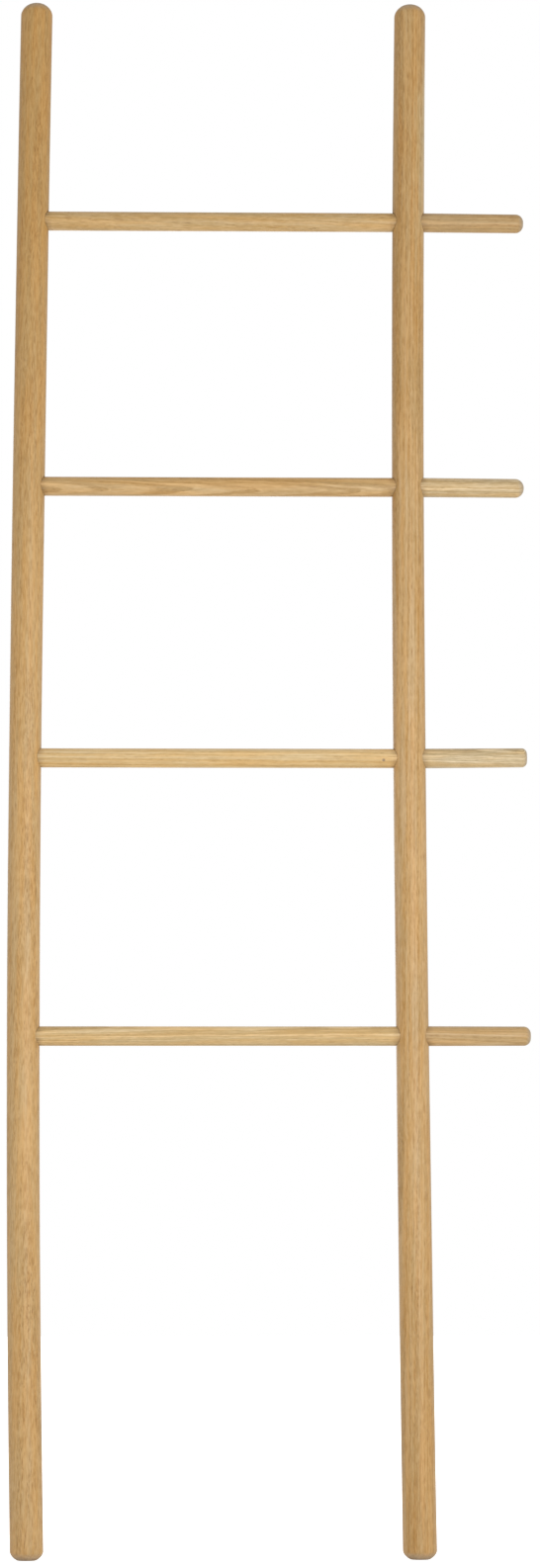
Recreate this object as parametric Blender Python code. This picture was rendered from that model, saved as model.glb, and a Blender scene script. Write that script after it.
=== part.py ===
"""A ladder rack in oak: two long round rails, four rungs between them and four pegs.

Units are metres, with +Z up. The rack stands upright on its feet, its rungs lie along X, and its
front faces -Y. Each peg carries a rung's line on past the right rail, at +X. The origin is on the
floor, under the middle of the whole outline. Double-ended dowel screws, hidden in the wood, hold
the rungs to the left rail, and hold each rung and its peg together through the right rail.
"""

import math

import bmesh
import bpy

MM = 0.001

# Driving dimensions.
RACK_HEIGHT = 1800 * MM
RAIL_SPACING = 438.5 * MM
RAIL_DIAMETER = 36.5 * MM
RUNG_DIAMETER = 22 * MM
PEG_DIAMETER = 22 * MM
LOWEST_RUNG_HEIGHT = 579 * MM
TOP_RUNG_DROP = 267 * MM  # from the rails' tops down to the top rung
RUNG_COUNT = 4
PEG_REACH = 134 * MM  # from the rail's axis to the peg's tip

# The sawn and sanded ends.
RAIL_TOP_ROUND = 14 * MM
RAIL_FOOT_ROUND = 9.5 * MM
PEG_TIP_ROUND = 8 * MM
SEATED_END_ROUND = 1 * MM

# How the rungs and the pegs seat in the rails.
SOCKET_DEPTH = 12 * MM
SEAT_CLEARANCE = 0.3 * MM

# The dowel screws.
SCREW_DIAMETER = 8 * MM
SCREW_CORE_DIAMETER = 5.5 * MM
SCREW_PITCH = 4 * MM
SCREW_POINT_LENGTH = 5 * MM
SCREW_CLEARANCE = 0.5 * MM
SCREW_BITE_IN_RUNG = 30 * MM
SCREW_BITE_IN_PEG = 30 * MM
SCREW_BITE_IN_RAIL = 14 * MM

# How far the dried rails have moved off two straight parallel lines, towards +X: at the foot, at the
# top, at mid-height, and in a slow S that swings one way low down and the other way high up.
LEFT_RAIL_DRIFT = {"foot": 2.8 * MM, "top": -1.1 * MM, "bow": -7.8 * MM, "sway": -1.1 * MM}
RIGHT_RAIL_DRIFT = {"foot": -1.3 * MM, "top": 0.9 * MM, "bow": -6.2 * MM, "sway": 0.7 * MM}

# How far each peg's tip tilts up from level, from the top peg down.
PEG_TILTS = (-0.35, -0.35, 0.5, 0.0)  # degrees

# How finely round things are faceted.
WOOD_SIDES = 32
SCREW_SIDES = 12
ROUND_STEPS = 4
RAIL_STEPS = 12
SMOOTH_BELOW = math.radians(35)  # faces that meet at less than this look like one round surface
MERGE_DISTANCE = 0.001 * MM

# Colours as the wood shows them, from the rails to the palest peg: red, green and blue.
RAIL_OAK = (0.60, 0.38, 0.17)
RUNG_OAKS = ((0.57, 0.36, 0.16), (0.55, 0.35, 0.15), (0.68, 0.47, 0.22), (0.66, 0.46, 0.23))
PEG_OAKS = ((0.53, 0.35, 0.17), (0.63, 0.46, 0.25), (0.67, 0.51, 0.30), (0.59, 0.40, 0.20))
SCREW_STEEL = (0.62, 0.62, 0.60)

rail_radius = RAIL_DIAMETER / 2
socket_floor = rail_radius - SOCKET_DEPTH  # from the rail's axis
seated_end = socket_floor + SEAT_CLEARANCE  # from the rail's axis, where a rung or a peg begins
rung_pitch = (RACK_HEIGHT - TOP_RUNG_DROP - LOWEST_RUNG_HEIGHT) / (RUNG_COUNT - 1)
rung_heights = [LOWEST_RUNG_HEIGHT + rung_pitch * step for step in reversed(range(RUNG_COUNT))]


def remove_all_objects():
    for old in list(bpy.data.objects):
        bpy.data.objects.remove(old)


# ---------------------------------------------------------------- where the rails run


def drift(rail_drift, height):
    """How far a rail's axis is off its straight line at this height."""
    share = height / RACK_HEIGHT
    ends = rail_drift["foot"] * (1 - share) + rail_drift["top"] * share
    bow = rail_drift["bow"] * 4 * share * (1 - share)
    sway = rail_drift["sway"] * math.sin(2 * math.pi * share)
    return ends + bow + sway


def left_axis(height):
    """The left rail's axis, measured from midway between the two straight lines."""
    return -RAIL_SPACING / 2 + drift(LEFT_RAIL_DRIFT, height)


def right_axis(height):
    """The right rail's axis, measured from midway between the two straight lines."""
    return RAIL_SPACING / 2 + drift(RIGHT_RAIL_DRIFT, height)


def outline_middle():
    """The middle of the whole outline: the left rail's outermost side to the furthest peg's tip."""
    steps = 200
    heights = [RACK_HEIGHT * step / steps for step in range(steps + 1)]
    leftmost = min(left_axis(height) for height in heights) - rail_radius
    rightmost = max(right_axis(height) for height in rung_heights) + PEG_REACH
    return (leftmost + rightmost) / 2


middle = outline_middle()


def left_x(height):
    return left_axis(height) - middle


def right_x(height):
    return right_axis(height) - middle


# ---------------------------------------------------------------- turned shapes


def round_over(radius, fillet, end, inward):
    """A quarter round from a flat end face to a rod's side, as (radius, height) points. The face is
    at height end, and inward is 1 where the rod is above it and -1 where the rod is below it."""
    points = []
    for step in range(ROUND_STEPS + 1):
        angle = math.pi / 2 * step / ROUND_STEPS
        out = radius - fillet + fillet * math.sin(angle)
        along = end + inward * fillet * (1 - math.cos(angle))
        points.append((out, along))
    return points


def rod_profile(radius, bottom, bottom_round, top, top_round, steps=1):
    """The side of a rod with both ends rounded over, from its axis at the bottom to its axis at the
    top. Between the ends it is cut into equal steps, so that it can bend."""
    low = round_over(radius, bottom_round, bottom, 1)
    high = round_over(radius, top_round, top, -1)[::-1]
    start = bottom + bottom_round
    run = top - top_round - start
    rings = [(radius, start + run * step / steps) for step in range(1, steps)]
    return [(0, bottom)] + low + rings + high + [(0, top)]


def bore_profile(radius, bottom, top):
    return [(0, bottom), (radius, bottom), (radius, top), (0, top)]


def turned_mesh(name, profile, sides):
    """Turns a profile of (radius, height) points about Z into a closed solid."""
    shape = bmesh.new()
    points = [shape.verts.new((radius, 0, height)) for radius, height in profile]
    lines = [shape.edges.new(pair) for pair in zip(points, points[1:])]
    bmesh.ops.spin(
        shape,
        geom=points + lines,
        cent=(0, 0, 0),
        axis=(0, 0, 1),
        angle=2 * math.pi,
        steps=sides,
        use_merge=True,
    )
    bmesh.ops.remove_doubles(shape, verts=shape.verts, dist=MERGE_DISTANCE)
    bmesh.ops.recalc_face_normals(shape, faces=shape.faces)
    mesh = bpy.data.meshes.new(name)
    shape.to_mesh(mesh)
    shape.free()
    mesh.shade_smooth()
    mesh.set_sharp_from_angle(angle=SMOOTH_BELOW)
    return mesh


def add_object(name, mesh, location, tilt_from_up=0.0):
    """Adds a piece whose own axis leans from +Z towards +X by this angle."""
    piece = bpy.data.objects.new(name, mesh)
    bpy.context.scene.collection.objects.link(piece)
    piece.location = location
    piece.rotation_euler = (0, tilt_from_up, 0)
    return piece


def give_material(piece, colour, roughness, metallic):
    material = bpy.data.materials.new(piece.name)
    material.use_nodes = True
    shader = material.node_tree.nodes["Principled BSDF"]
    shader.inputs["Base Color"].default_value = (*colour, 1)
    shader.inputs["Roughness"].default_value = roughness
    shader.inputs["Metallic"].default_value = metallic
    piece.data.materials.append(material)


def give_oak(piece, colour):
    give_material(piece, colour, roughness=0.5, metallic=0.0)


def cut(piece, name, profile, sides, x, height):
    """Cuts a turned shape out of a piece. The shape's own axis lies along +X, from this x."""
    cutter = add_object(name, turned_mesh(name, profile, sides), (x, 0, height), math.pi / 2)
    cutter.hide_render = True
    cutter.display_type = "WIRE"
    bore = piece.modifiers.new(name, "BOOLEAN")
    bore.operation = "DIFFERENCE"
    bore.solver = "EXACT"
    bore.object = cutter


# ---------------------------------------------------------------- rails


def add_rail(name, axis_x):
    """A round pole from the floor to the top, with its rings slid sideways to follow its axis."""
    profile = rod_profile(
        rail_radius, 0, RAIL_FOOT_ROUND, RACK_HEIGHT, RAIL_TOP_ROUND, RAIL_STEPS
    )
    mesh = turned_mesh(name, profile, WOOD_SIDES)
    foot_x = axis_x(0)
    for corner in mesh.vertices:
        corner.co.x += axis_x(corner.co.z) - foot_x
    rail = add_object(name, mesh, (foot_x, 0, 0))
    give_oak(rail, RAIL_OAK)
    return rail


def add_left_rail():
    """Blind sockets face the rungs, each with a narrow bore in its floor for the screw."""
    rail = add_rail("left_rail", left_x)
    outside = rail_radius + SOCKET_DEPTH
    socket_radius = RUNG_DIAMETER / 2 + SEAT_CLEARANCE
    bore_radius = SCREW_DIAMETER / 2 + SCREW_CLEARANCE
    bore_floor = socket_floor - SCREW_BITE_IN_RAIL - SCREW_CLEARANCE
    profile = [
        (0, bore_floor),
        (bore_radius, bore_floor),
        (bore_radius, socket_floor),
        (socket_radius, socket_floor),
        (socket_radius, outside),
        (0, outside),
    ]
    for number, height in enumerate(rung_heights, start=1):
        cut(rail, f"left_socket_{number}", profile, WOOD_SIDES, left_x(height), height)


def add_right_rail():
    """A rung's socket and a peg's socket face away from each other, with a bore between them."""
    rail = add_rail("right_rail", right_x)
    outside = rail_radius + SOCKET_DEPTH
    rung_socket_radius = RUNG_DIAMETER / 2 + SEAT_CLEARANCE
    peg_socket_radius = PEG_DIAMETER / 2 + SEAT_CLEARANCE
    bore_radius = SCREW_DIAMETER / 2 + SCREW_CLEARANCE
    profile = [
        (0, -outside),
        (rung_socket_radius, -outside),
        (rung_socket_radius, -socket_floor),
        (bore_radius, -socket_floor),
        (bore_radius, socket_floor),
        (peg_socket_radius, socket_floor),
        (peg_socket_radius, outside),
        (0, outside),
    ]
    for number, height in enumerate(rung_heights, start=1):
        cut(rail, f"right_sockets_{number}", profile, WOOD_SIDES, right_x(height), height)


# ---------------------------------------------------------------- rungs and pegs


def screw_bore(bite):
    """A bore in the end of a rung or a peg, for a screw that goes this deep past the rail's socket
    floor. It starts outside the wood, so that the cut breaks through the end face."""
    radius = SCREW_DIAMETER / 2 + SCREW_CLEARANCE
    return bore_profile(radius, socket_floor - SEAT_CLEARANCE, socket_floor + bite + SCREW_CLEARANCE)


def mirrored(profile):
    """The same solid, running along its axis the other way."""
    return [(radius, -along) for radius, along in reversed(profile)]


def add_rung(number, height):
    name = f"rung_{number}"
    start = left_x(height) + seated_end
    length = right_x(height) - seated_end - start
    profile = rod_profile(RUNG_DIAMETER / 2, 0, SEATED_END_ROUND, length, SEATED_END_ROUND)
    mesh = turned_mesh(name, profile, WOOD_SIDES)
    rung = add_object(name, mesh, (start, 0, height), math.pi / 2)
    give_oak(rung, RUNG_OAKS[number - 1])
    bore = screw_bore(SCREW_BITE_IN_RUNG)
    cut(rung, f"{name}_left_bore", bore, SCREW_SIDES, left_x(height), height)
    cut(rung, f"{name}_right_bore", mirrored(bore), SCREW_SIDES, right_x(height), height)


def add_peg(number, height):
    """A peg tilts about the middle of its seat, within the socket's clearance."""
    name = f"peg_{number}"
    seat_middle = (seated_end + rail_radius) / 2
    profile = rod_profile(
        PEG_DIAMETER / 2,
        seated_end - seat_middle,
        SEATED_END_ROUND,
        PEG_REACH - seat_middle,
        PEG_TIP_ROUND,
    )
    tilt = math.radians(PEG_TILTS[number - 1])
    x = right_x(height) + seat_middle
    mesh = turned_mesh(name, profile, WOOD_SIDES)
    peg = add_object(name, mesh, (x, 0, height), math.pi / 2 - tilt)
    give_oak(peg, PEG_OAKS[number - 1])
    bore = screw_bore(SCREW_BITE_IN_PEG)
    cut(peg, f"{name}_bore", bore, SCREW_SIDES, right_x(height), height)


# ---------------------------------------------------------------- dowel screws


def thread_profile(start, end):
    """Ridges between these two places along a screw, one for each turn of its thread."""
    turns = max(1, round((end - start) / SCREW_PITCH))
    pitch = (end - start) / turns
    points = []
    for turn in range(turns):
        points.append((SCREW_CORE_DIAMETER / 2, start + pitch * turn))
        points.append((SCREW_DIAMETER / 2, start + pitch * (turn + 0.5)))
    points.append((SCREW_CORE_DIAMETER / 2, end))
    return points


def screw_profile(left_tip, left_waist, right_waist, right_tip):
    """A screw with a point and a thread at each end and a plain waist between them."""
    left_thread = thread_profile(left_tip + SCREW_POINT_LENGTH, left_waist)
    right_thread = thread_profile(right_waist, right_tip - SCREW_POINT_LENGTH)
    return [(0, left_tip)] + left_thread + right_thread + [(0, right_tip)]


def add_screw(name, x, height, profile):
    mesh = turned_mesh(name, profile, SCREW_SIDES)
    screw = add_object(name, mesh, (x, 0, height), math.pi / 2)
    give_material(screw, SCREW_STEEL, roughness=0.35, metallic=1.0)


def add_left_screw(number, height):
    """From the left rail's wood, through the socket's floor, into the rung. Its short waist is at
    the socket's floor."""
    tip_in_rail = socket_floor - SCREW_BITE_IN_RAIL
    tip_in_rung = socket_floor + SCREW_BITE_IN_RUNG
    profile = screw_profile(tip_in_rail, socket_floor, seated_end, tip_in_rung)
    add_screw(f"left_dowel_screw_{number}", left_x(height), height, profile)


def add_right_screw(number, height):
    """From the rung, through the right rail, into the peg, with its waist in the rail."""
    tip_in_rung = -socket_floor - SCREW_BITE_IN_RUNG
    tip_in_peg = socket_floor + SCREW_BITE_IN_PEG
    profile = screw_profile(tip_in_rung, -socket_floor, socket_floor, tip_in_peg)
    add_screw(f"right_dowel_screw_{number}", right_x(height), height, profile)


# ---------------------------------------------------------------- the whole rack


def build_rack():
    remove_all_objects()
    add_left_rail()
    add_right_rail()
    for number, height in enumerate(rung_heights, start=1):
        add_rung(number, height)
        add_peg(number, height)
        add_left_screw(number, height)
        add_right_screw(number, height)


build_rack()
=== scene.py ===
# %% [markdown]
# # A ladder rack in oak
#
# The rack is a plain piece of joinery: two long round poles, the rails, four round rungs between
# them, and four pegs that carry the rungs' lines on past the right rail. The frame that is loaded
# here holds the true sizes and places. This script gives every piece its fine surface and its
# finish. It never moves a piece: each new surface is worked out from the solid it stands for.

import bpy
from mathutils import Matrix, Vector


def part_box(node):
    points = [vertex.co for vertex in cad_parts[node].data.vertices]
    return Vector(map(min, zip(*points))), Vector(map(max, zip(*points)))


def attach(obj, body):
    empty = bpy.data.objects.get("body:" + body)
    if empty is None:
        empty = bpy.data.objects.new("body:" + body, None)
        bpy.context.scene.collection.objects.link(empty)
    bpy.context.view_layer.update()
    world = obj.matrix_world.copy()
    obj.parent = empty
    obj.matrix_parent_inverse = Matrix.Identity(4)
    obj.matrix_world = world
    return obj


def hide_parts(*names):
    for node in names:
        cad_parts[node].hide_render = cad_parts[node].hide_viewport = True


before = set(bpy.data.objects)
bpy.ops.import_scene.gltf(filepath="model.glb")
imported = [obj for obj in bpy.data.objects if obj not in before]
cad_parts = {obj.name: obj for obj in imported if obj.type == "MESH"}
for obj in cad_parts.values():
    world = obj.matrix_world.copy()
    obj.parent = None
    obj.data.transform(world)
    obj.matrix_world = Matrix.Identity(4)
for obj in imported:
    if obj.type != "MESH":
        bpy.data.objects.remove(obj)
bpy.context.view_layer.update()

# %% Tools
import math

import bmesh
import bpy
import numpy as np
from mathutils import Matrix, Vector

MM = 0.001

# %% [markdown]
# ## The camera
#
# The rack is seen from straight in front, from a low place, with the camera turned up a little. A
# camera is placed by where it stands and by three turns: a turn to the side, a turn up, and a very
# small roll. Multiplying three rotation matrices in that order keeps each turn easy to read, which
# a single triple of Euler angles would not.

# %% Place the camera
CAMERA_PLACE = (-82.6 * MM, -4000 * MM, 246.5 * MM)
CAMERA_TURN_RIGHT = math.radians(1.19)
CAMERA_TURN_UP = math.radians(8.82)
CAMERA_ROLL = math.radians(-0.087)
CAMERA_LENS = 81.39  # millimetres
SENSOR_LONG_SIDE = 36  # millimetres
VIEW_DEPTH = 500  # metres, further than the floor reaches

camera = bpy.data.objects.new("camera", bpy.data.cameras.new("camera"))
bpy.context.scene.collection.objects.link(camera)
bpy.context.scene.camera = camera
turn = Matrix.Rotation(-CAMERA_TURN_RIGHT, 4, "Z")
tilt = Matrix.Rotation(math.pi / 2 + CAMERA_TURN_UP, 4, "X")
roll = Matrix.Rotation(CAMERA_ROLL, 4, "Z")
camera.matrix_world = Matrix.Translation(CAMERA_PLACE) @ turn @ tilt @ roll
camera.data.lens = CAMERA_LENS
camera.data.sensor_width = SENSOR_LONG_SIDE
camera.data.clip_end = VIEW_DEPTH
print("camera at", [round(value, 3) for value in camera.location])

# %% [markdown]
# ## Reading a rod from its solid
#
# A rung or a peg is a straight rod, so its solid's points spread most along its axis. The singular
# value decomposition finds that direction, whichever way the rod points. The narrow bores inside
# follow the screws and not the rod, so points near the middle are left out of the second look.

# %% Points and axes
SCREW_BORE_RADIUS = 4.5 * MM
OUTSIDE_FROM = 1.2 * SCREW_BORE_RADIUS  # points further from the axis than this aren't on a bore


def rows_of_three(collection, name):
    """Three numbers for each member of a mesh's collection, as an array with a row for each."""
    values = np.empty(len(collection) * 3)
    collection.foreach_get(name, values)
    return values.reshape(-1, 3)


def points_of(node):
    """All corners of a CAD node."""
    return rows_of_three(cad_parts[node].data.vertices, "co")


def rod_axis(node):
    """Where a rod starts, its direction and its length. The direction is the one in which its
    outer points spread most, turned so that it runs towards +X."""
    points = points_of(node)
    for _ in range(2):
        middle = points.mean(0)
        direction = np.linalg.svd(points - middle, full_matrices=False)[2][0]
        along = (points - middle) @ direction
        off_axis = np.linalg.norm(points - middle - np.outer(along, direction), axis=1)
        points = points[off_axis > OUTSIDE_FROM]
    direction = direction * np.sign(direction[0])
    along = (points - middle) @ direction
    return middle + along.min() * direction, direction, np.ptp(along)


for number in range(1, 5):
    start, direction, length = rod_axis(f"peg_{number}")
    rise = math.degrees(math.asin(direction[2]))
    print(f"peg_{number}: {length / MM:.1f} mm long, its tip turned up {rise:.2f} degrees")

# %% [markdown]
# ## Reading a rail's line
#
# A rail is not straight: oak moves as it dries, and both poles have a gentle bow. The foremost
# point of each ring of the solid lies right in front of the pole's axis, so these points give the
# axis at thirteen heights. A polynomial through them gives it at every height between.

# %% The rails' lines
FOREMOST = 0.999  # of the radius, in front of the axis
LINE_DEGREE = 6


def rail_line(node):
    """A polynomial that gives the x of the rail's axis at a height, and the rail's radius. It is
    the one that passes nearest to the foremost points."""
    points = points_of(node)
    radius = -points[:, 1].min()
    foremost = points[points[:, 1] < -radius * FOREMOST]
    fitted = np.polynomial.Polynomial.fit(foremost[:, 2], foremost[:, 0], LINE_DEGREE)
    off = np.abs(fitted(foremost[:, 2]) - foremost[:, 0]).max()
    print(f"{node}: radius {radius / MM:.2f} mm, line off by at most {off / MM:.3f} mm")
    return fitted, radius


left_line, rail_radius = rail_line("left_rail")
right_line, _ = rail_line("right_rail")
rail_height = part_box("left_rail")[1].z
rung_heights = [np.mean([corner.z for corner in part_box(f"rung_{n}")]) for n in range(1, 5)]
rung_radius = np.ptp([corner.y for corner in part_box("rung_1")]) / 2
print("rungs at", [round(height / MM) for height in rung_heights], "mm")

# %% [markdown]
# ## From sheets of points to a closed piece
#
# Every wooden piece is made from sheets: grids of points whose columns go once round an axis and
# whose rows follow a profile. numpy works out a whole sheet at once. Where two sheets share an edge
# their points are equal, and merging them closes the seam. A row with no radius becomes a single
# point in the same way, which closes an end. The faces are then turned outwards together.

# %% The faces of a sheet
def sheet_faces(rows, columns, first):
    """The corners of each face between neighbouring rows and columns. The last column meets the
    first one again."""
    row, column = np.meshgrid(np.arange(rows - 1), np.arange(columns), indexing="ij")
    beside = (column + 1) % columns
    corners = [row * columns + column, row * columns + beside]
    corners += [(row + 1) * columns + beside, (row + 1) * columns + column]
    return np.stack(corners, -1) + first


# %% Stitching sheets together
MERGE_DISTANCE = 0.004 * MM
SHARP_ANGLE = math.radians(40)


def make_piece(name, sheets):
    """Joins sheets into one closed mesh. Each sheet is a grid of points and a grid that says which
    of its faces to keep, or None to keep all."""
    points = []
    faces = []
    first = 0
    for grid, keep in sheets:
        rows, columns = grid.shape[:2]
        corners = sheet_faces(rows, columns, first)
        faces.append(corners.reshape(-1, 4) if keep is None else corners[keep])
        points.append(grid.reshape(-1, 3))
        first += rows * columns
    mesh = bpy.data.meshes.new(name)
    mesh.from_pydata(np.concatenate(points).tolist(), [], np.concatenate(faces).tolist())
    shape = bmesh.new()
    shape.from_mesh(mesh)
    bmesh.ops.remove_doubles(shape, verts=shape.verts, dist=MERGE_DISTANCE)
    loose = [corner for corner in shape.verts if not corner.link_faces]
    bmesh.ops.delete(shape, geom=loose, context="VERTS")
    bmesh.ops.recalc_face_normals(shape, faces=shape.faces)
    open_edges = sum(not edge.is_manifold for edge in shape.edges)
    shape.to_mesh(mesh)
    shape.free()
    mesh.shade_smooth()
    mesh.set_sharp_from_angle(angle=SHARP_ANGLE)
    piece = bpy.data.objects.new(name, mesh)
    bpy.context.scene.collection.objects.link(piece)
    print(f"{name}: {len(mesh.polygons)} faces, {open_edges} open edges")
    return piece


# %% [markdown]
# ## How a hand-worked pole varies
#
# Each rail is a turned or planed pole, sanded by hand, so it is never quite round. A noise could
# stand for this, but a noise has no direction, while a plane and a sanding block run along the
# pole. So two slow waves are used: an oval section that turns along the pole, and a swelling.

# %% The girth of a pole
OVAL = 0.06 * MM
OVAL_TURN = 5.1  # radians for each metre
SWELLING = 0.07 * MM
SWELLING_PACE = 11.0  # radians for each metre
SWELLING_SHIFT = 1.7
FULLER_SIDE = 0.2 * MM


def hand_worked(angle, along, phase):
    """How far a sanded pole's side is out of place: a sine that makes the section oval and turns
    along the pole, plus a sine of the place along it. The phase sets both off."""
    oval = OVAL * np.sin(2 * angle + OVAL_TURN * along + phase)
    swelling = SWELLING * np.sin(SWELLING_PACE * along + SWELLING_SHIFT * phase)
    return oval + swelling


def rail_girth(angle, height, phase, foot_swell):
    """A rail's radius: its nominal one, the hand's small faults, and a foot left a little fuller,
    by the cube of how far down the rail a point is."""
    fuller = foot_swell * (1 - height / rail_height) ** 3
    return rail_radius + FULLER_SIDE + hand_worked(angle, height, phase) + fuller


print(f"the hand's faults are {(OVAL + SWELLING) / MM:.2f} mm at most")

# %% [markdown]
# ## Eased ends
#
# The ends of the rails and pegs were rounded over with a file and sandpaper, the feet less and the
# tops more. A Bevel modifier would cost an edge selection for each. A superellipse has one number,
# its fullness, that goes from a straight chamfer to a quarter circle, as a hand's work does.

# %% The profile of an end
CHAMFERED_ROUND = 1.6  # a fullness: between a chamfer, which is 1, and a quarter circle
SOFT_ROUND = 1.8
NEARLY_ROUND = 1.9
FULL_ROUND = 2


def eased_edge(size, fullness, steps):
    """Sideways and lengthways distances over an eased edge, from the end face to the side: the
    superellipse (x/size)^n + (y/size)^n = 1, where n is the fullness."""
    angle = np.linspace(0, math.pi / 2, steps)
    power = 2 / fullness
    return size * np.sin(angle) ** power, size * (1 - np.cos(angle) ** power)


def even_steps(start, end, longest):
    """Places from start to end, no further apart than this."""
    return np.linspace(start, end, math.ceil((end - start) / longest) + 1)


def end_rows(radius, size, fullness, face_rings=4, steps=14):
    """The rows from the middle of a rod's end face to its side: a flat disc, then an eased edge."""
    out, along = eased_edge(size, fullness, steps)
    disc = np.linspace(0, radius - size, face_rings + 1)[:-1]
    return np.concatenate([disc, radius - size + out]), np.concatenate([disc * 0, along])


# %% [markdown]
# ## The rails, with windows for the sockets
#
# Round sockets are bored in each rail for the rungs and the pegs. A Boolean would cut them, but it
# leaves long thin faces and a razor-sharp rim. Here the pole is a sheet with square windows left
# open where the sockets come. A second sheet will fill each window.

# %% The pole's rows
COLUMNS = 96  # a quarter of them spans a window
WINDOW_SHARE = math.pi / 4  # half a window, as an angle round the pole
ROW_STEP = 8 * MM
FOOT_ROUND = 9.5 * MM
TOP_ROUND = 14 * MM
window_half = rail_radius * WINDOW_SHARE  # the window is as high as it is wide


def rail_levels(top):
    """Heights of the rows along a rail's side, up to this top, with a row on the lower and upper
    edge of each window and as many rows in a window as it has columns."""
    levels = [np.array([FOOT_ROUND])]
    for height in sorted(rung_heights):
        below, above = height - window_half, height + window_half
        levels.append(even_steps(levels[-1][-1], below, ROW_STEP)[1:])
        levels.append(np.linspace(below, above, COLUMNS // 4 + 1)[1:])
    levels.append(even_steps(levels[-1][-1], top - TOP_ROUND, ROW_STEP)[1:])
    return np.concatenate(levels)


# %% The windowed pole
def window_faces(angle, height, sides):
    """Which faces lie outside every window. angle and height are the faces' middles."""
    keep = np.ones(angle.shape, bool)
    for side in sides:
        for level in rung_heights:
            faces_side = side * np.cos(angle) > math.cos(WINDOW_SHARE)
            keep &= ~(faces_side & (np.abs(height - level) < window_half))
    return keep


def pole_sheet(line, girth, sides, worn_off):
    """The whole outside of a rail: rings round the bowed axis, with the profile's share of the
    girth there. Faces inside a window are left out. worn_off is how much lower the top is than the
    nominal one."""
    foot_out, foot_up = end_rows(rail_radius, FOOT_ROUND, CHAMFERED_ROUND)
    top_out, top_down = end_rows(rail_radius, TOP_ROUND, SOFT_ROUND)
    top = rail_height - worn_off
    side = rail_levels(top)[1:-1]
    out = np.concatenate([foot_out, np.full(len(side), rail_radius), top_out[::-1]])
    up = np.concatenate([foot_up, side, top - top_down[::-1]])
    angle = np.arange(COLUMNS) * 2 * math.pi / COLUMNS
    angle, height = np.meshgrid(angle, up)
    radius = out[:, None] / rail_radius * girth(angle, height)
    x = line(height) + radius * np.cos(angle)
    points = np.stack([x, radius * np.sin(angle), height], -1)
    middle_angle = angle[:-1] + math.pi / COLUMNS
    middle_height = (height[1:] + height[:-1]) / 2
    return points, window_faces(middle_angle, middle_height, sides)


# %% [markdown]
# ## A socket that fills a window
#
# The filling starts on the window's square edge, closes in on the socket's round rim, rolls over
# the softened arris, and goes on down the wall, across the floor and into the screw's bore. Its
# outermost points are the pole's own points, so the seam can't be seen.

# %% The socket's mouth
SOCKET_CLEARANCE = 0.3 * MM  # room for glue round a rung
SOCKET_RADIUS = rung_radius + SOCKET_CLEARANCE
ARRIS = 0.7 * MM
ARRIS_STEPS = 6
MOUTH_STEPS = 7


def window_edge():
    """The window's edge walked once round, as shares of its half width and half height."""
    run = np.linspace(-1, 1, COLUMNS // 4, endpoint=False)
    one = np.ones(COLUMNS // 4)
    return np.concatenate([run, one, -run, -one]), np.concatenate([-one, run, one, -run])


def socket_mouth(line, girth, side, level):
    """Rows from a window's edge to the rim and over the arris, and each column's bearing round the
    socket. A row slides from the edge to the rim in a straight line on the rail's unrolled side. On
    the arris it also sinks, along a quarter circle."""
    across, upright = window_edge()
    edge_arc, edge_rise = across * window_half, upright * window_half
    bearing = np.arctan2(edge_rise, edge_arc)
    rim_y, rim_rise = SOCKET_RADIUS * np.cos(bearing), SOCKET_RADIUS * np.sin(bearing)
    rim_arc = rail_radius * np.arcsin(rim_y / rail_radius)
    gap = np.hypot(edge_arc - rim_arc, edge_rise - rim_rise)
    sideways, sunk = eased_edge(ARRIS, FULL_ROUND, ARRIS_STEPS)
    outside = np.linspace(1, ARRIS / gap, MOUTH_STEPS)[:-1]
    share = np.concatenate([outside, (ARRIS - sideways)[:, None] / gap])
    sunk = np.concatenate([np.zeros(len(outside)), sunk])[:, None]
    angle = (rim_arc + share * (edge_arc - rim_arc)) / rail_radius
    height = level + rim_rise + share * (edge_rise - rim_rise)
    shown_angle = angle if side > 0 else math.pi - angle
    radius = girth(shown_angle, height)
    x = line(height) + side * (radius * np.cos(angle) - sunk)
    return np.stack([x, radius * np.sin(angle), height], -1), bearing


print(f"a socket is {2 * SOCKET_RADIUS / MM:.1f} mm wide")

# %% The socket's wall, floor and bore
SOCKET_DEPTH = 12 * MM
WALL_STEPS = 4
socket_floor = rail_radius - SOCKET_DEPTH


def ring_rows(x, radius, bearing, level):
    """Rows round the socket's own axis, which lies along X at this level: x as given, and y and z
    on a circle of this radius."""
    y = radius * np.cos(bearing) + 0 * x
    z = level + radius * np.sin(bearing) + 0 * x
    return np.stack([x, y, z], -1)


def socket_sheet(line, girth, side, level, bore_end):
    """The mouth's rows, then rings down the wall, across the floor and along the bore to bore_end,
    a distance from the rail's axis towards this side. A bore that ends on the axis meets the one
    from the other side, and any other is closed by a point."""
    surface, bearing = socket_mouth(line, girth, side, level)
    floor_x = line(level) + side * socket_floor
    wall_share = np.linspace(0, 1, WALL_STEPS)[1:, None]
    wall_x = surface[-1, :, 0] + wall_share * (floor_x - surface[-1, :, 0])
    bore_x = np.array([[floor_x], [line(level) + side * bore_end]]) + 0 * bearing
    rows = [surface]
    rows.append(ring_rows(wall_x, SOCKET_RADIUS, bearing, level))
    rows.append(ring_rows(bore_x, SCREW_BORE_RADIUS, bearing, level))
    if bore_end != 0:
        rows.append(ring_rows(bore_x[-1:], 0, bearing, level))
    return np.concatenate(rows), None


# %% Make the rails
BLIND_BORE = 14.5 * MM  # how far the screw goes into the left rail, past the socket's floor


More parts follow.
